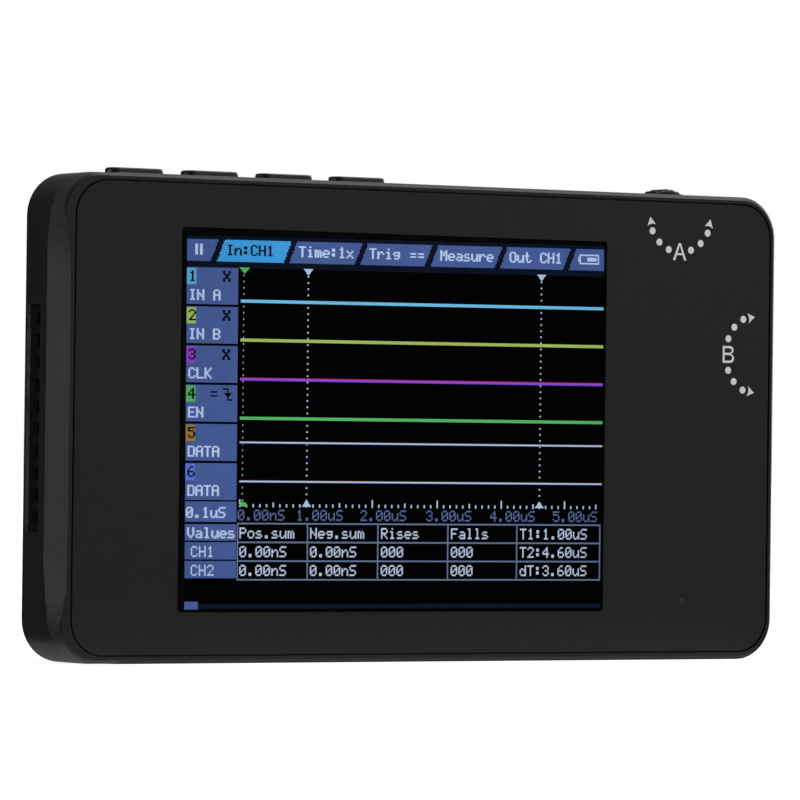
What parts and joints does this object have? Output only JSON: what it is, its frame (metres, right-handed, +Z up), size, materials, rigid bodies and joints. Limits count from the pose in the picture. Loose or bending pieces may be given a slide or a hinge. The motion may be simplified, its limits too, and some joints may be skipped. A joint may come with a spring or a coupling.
{
  "type": "logic analyzer",
  "caption": "Slim pocket logic analyzer: black milled case, colour display on the face, push keys and a thumb wheel on top, a second wheel at the side, probe socket on the left.",
  "frame": {"origin": "centre of the bottom face the case stands on", "axes": "+Z up the display's short side, +X to the right along the display's long side, -Y out of the display face; +Y out of the back cover"},
  "size_m": [0.1008, 0.009, 0.0573],
  "materials": {
    "case_anodised": "fine bead-blasted black anodised aluminium",
    "cover_anodised": "bead-blasted black anodised aluminium",
    "panel_anodised": "satin black anodised aluminium sheet",
    "adhesive": "black bonding film",
    "window_glass": "clear polished window",
    "display_cell": "display glass behind a black border",
    "backlight_tray": "white moulded light guide tray",
    "flex_film": "amber polyimide film",
    "connector_plastic": "natural nylon",
    "foam": "closed-cell foam",
    "circuit_board": "green solder mask on glass fibre",
    "screw_steel": "nickel-plated steel",
    "screw_black": "black oxide steel",
    "socket_plastic": "black moulded plastic",
    "contact_metal": "gold-flashed phosphor bronze",
    "port_shell": "stamped stainless shell",
    "port_tongue": "black moulded tongue",
    "switch_body": "black moulded body",
    "slider_plastic": "black moulded slider",
    "battery_pouch": "laminated foil pouch",
    "lead_insulation": "insulated wire",
    "chip_package": "moulded epoxy package",
    "crystal_can": "sealed metal can",
    "inductor_ferrite": "ferrite body",
    "buzzer_plastic": "moulded shell",
    "lamp_chip": "diffused lamp chip",
    "light_pipe": "smoked clear plastic",
    "key_plastic": "polished dark plastic",
    "plunger_plastic": "natural acetal",
    "wheel_plastic": "black ribbed plastic",
    "axle_steel": "ground steel pin",
    "carrier_plastic": "black acetal",
    "housing_metal": "plated stamped steel"
  },
  "bodies": {
    "root": {"case_frame": "case_anodised", "back_cover": "cover_anodised", "front_panel": "panel_anodised", "panel_adhesive": "adhesive", "display_window": "window_glass", "lcd_glass": "display_cell", "lcd_backlight": "backlight_tray", "lcd_flex": "flex_film", "flex_connector": "connector_plastic", "lcd_foam_pads": "foam", "main_board": "circuit_board", "board_screws": "screw_steel", "cover_screws": "screw_black", "probe_socket": "socket_plastic", "probe_contacts": "contact_metal", "usb_shell": "port_shell", "usb_tongue": "port_tongue", "power_switch": "switch_body", "battery": "battery_pouch", "battery_pad": "foam", "battery_connector": "connector_plastic", "battery_leads": "lead_insulation", "mcu_chip": "chip_package", "logic_chip": "chip_package", "memory_chip": "chip_package", "input_buffers": "chip_package", "charger_chip": "chip_package", "crystal": "crystal_can", "power_inductor": "inductor_ferrite", "buzzer": "buzzer_plastic", "status_led": "lamp_chip", "light_pipe": "light_pipe", "tact_switch_1": "switch_body", "tact_switch_2": "switch_body", "tact_switch_3": "switch_body", "tact_switch_4": "switch_body", "wheel_a_housing": "housing_metal", "wheel_a_switch": "switch_body", "wheel_b_housing": "housing_metal", "wheel_b_switch": "switch_body"},
    "key_1": {"button_1": "key_plastic", "switch_plunger_1": "plunger_plastic"},
    "key_2": {"button_2": "key_plastic", "switch_plunger_2": "plunger_plastic"},
    "key_3": {"button_3": "key_plastic", "switch_plunger_3": "plunger_plastic"},
    "key_4": {"button_4": "key_plastic", "switch_plunger_4": "plunger_plastic"},
    "wheel_a_cradle": {"wheel_a_carrier": "carrier_plastic", "wheel_a_axle": "axle_steel", "wheel_a_plunger": "plunger_plastic"},
    "wheel_a_rotor": {"wheel_a": "wheel_plastic"},
    "wheel_b_cradle": {"wheel_b_carrier": "carrier_plastic", "wheel_b_axle": "axle_steel", "wheel_b_plunger": "plunger_plastic"},
    "wheel_b_rotor": {"wheel_b": "wheel_plastic"},
    "power_knob": {"power_slider": "slider_plastic"}
  },
  "joints": [
    {"name": "key_1_press", "type": "slide", "parent": "root", "child": "key_1", "axis": [0, 0, -1], "range_m": [0, 0.0003], "stiffness_N_per_m": 60},
    {"name": "key_2_press", "type": "slide", "parent": "root", "child": "key_2", "axis": [0, 0, -1], "range_m": [0, 0.0003], "stiffness_N_per_m": 60},
    {"name": "key_3_press", "type": "slide", "parent": "root", "child": "key_3", "axis": [0, 0, -1], "range_m": [0, 0.0003], "stiffness_N_per_m": 60},
    {"name": "key_4_press", "type": "slide", "parent": "root", "child": "key_4", "axis": [0, 0, -1], "range_m": [0, 0.0003], "stiffness_N_per_m": 60},
    {"name": "wheel_a_press", "type": "slide", "parent": "root", "child": "wheel_a_cradle", "axis": [0, 0, -1], "range_m": [0, 0.00035], "stiffness_N_per_m": 200},
    {"name": "wheel_a_spin", "type": "hinge", "parent": "wheel_a_cradle", "child": "wheel_a_rotor", "pos_m": [0.03595, 0, 0.0527], "axis": [0, 1, 0], "continuous": true},
    {"name": "wheel_b_press", "type": "slide", "parent": "root", "child": "wheel_b_cradle", "axis": [-1, 0, 0], "range_m": [0, 0.00035], "stiffness_N_per_m": 200},
    {"name": "wheel_b_spin", "type": "hinge", "parent": "wheel_b_cradle", "child": "wheel_b_rotor", "pos_m": [0.0462, 0, 0.03725], "axis": [0, 1, 0], "continuous": true},
    {"name": "power_slide", "type": "slide", "parent": "root", "child": "power_knob", "axis": [0, 0, 1], "range_m": [0, 0.003]}
  ]
}
